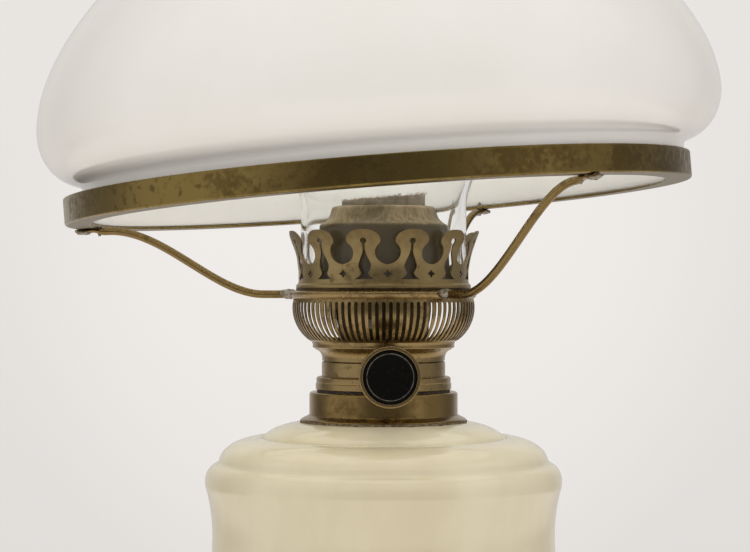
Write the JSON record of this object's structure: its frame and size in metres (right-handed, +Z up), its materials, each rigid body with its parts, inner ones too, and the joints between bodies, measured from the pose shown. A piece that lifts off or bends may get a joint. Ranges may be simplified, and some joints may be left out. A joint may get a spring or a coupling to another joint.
{
  "type": "kerosene lamp",
  "caption": "Kerosene table lamp: cream glass font, round-wick brass burner with slotted basket and pierced crown, clear chimney, opal glass shade on a ring with arms.",
  "frame": {"origin": "middle of the flat foot, on the surface that the lamp stands on", "axes": "+Z up along the lamp's axis; the wick knob points to -Y; +X to the right as seen from the knob"},
  "size_m": [0.2116, 0.2122, 0.4392],
  "materials": {
    "cream_glass": "glossy opaque cream glass",
    "opal_glass": "glossy opal white glass",
    "clear_glass": "clear thin blown glass",
    "brass": "aged, half-polished",
    "dull_brass": "dull and dusty",
    "cement": "rough plaster",
    "washer": "matt",
    "wick_cotton": "woven cotton",
    "knob_black": "gloss"
  },
  "bodies": {
    "font": {"font_glass": "cream_glass", "collar_cement": "cement", "font_collar": "brass"},
    "washer": {"collar_washer": "washer"},
    "burner": {"burner_base": "dull_brass", "burner_body": "brass", "outer_wick_tube": "dull_brass", "inner_wick_tube": "dull_brass", "air_duct": "dull_brass", "spindle_bush": "brass", "gland_nut": "brass"},
    "knob": {"wick_spindle": "dull_brass", "pinion": "dull_brass", "knob_cup": "brass", "knob_face": "knob_black"},
    "wick": {"wick": "wick_cotton", "wick_carrier": "dull_brass", "wick_rack": "dull_brass"},
    "gallery": {"basket": "brass", "carrier_ring": "brass", "gallery_plate": "dull_brass", "crown": "brass", "flame_guide": "dull_brass", "arm_left": "brass", "arm_right": "brass", "arm_rear": "brass", "shade_ring": "brass"},
    "shade": {"shade": "opal_glass"},
    "chimney": {"chimney": "clear_glass"}
  },
  "joints": [
    {"name": "burner_rise", "type": "slide", "parent": "font", "child": "washer", "axis": [0, 0, 1], "range_m": [0, 0.0085]},
    {"name": "burner_unscrew", "type": "hinge", "parent": "washer", "child": "burner", "pos_m": [0, 0, 0.1537], "axis": [0, 0, 1], "range_deg": [0, 1080]},
    {"name": "knob_turn", "type": "hinge", "parent": "burner", "child": "knob", "pos_m": [0, 0, 0.1592], "axis": [0, 1, 0], "range_deg": [-143, 71]},
    {"name": "wick_raise", "type": "slide", "parent": "burner", "child": "wick", "axis": [0, 0, 1], "range_m": [-0.008, 0.004]},
    {"name": "gallery_lift", "type": "slide", "parent": "burner", "child": "gallery", "axis": [0, 0, 1], "range_m": [0, 0.06]},
    {"name": "chimney_lift", "type": "slide", "parent": "gallery", "child": "chimney", "axis": [0, 0, 1], "range_m": [0, 0.045]},
    {"name": "shade_lift", "type": "slide", "parent": "gallery", "child": "shade", "axis": [0, 0, 1], "range_m": [0, 0.25]}
  ],
  "couplings": [
    {"joint": "burner_rise", "follows": "burner_unscrew", "m_per_rad": 0.00044563},
    {"joint": "wick_raise", "follows": "knob_turn", "m_per_rad": 0.0032}
  ]
}
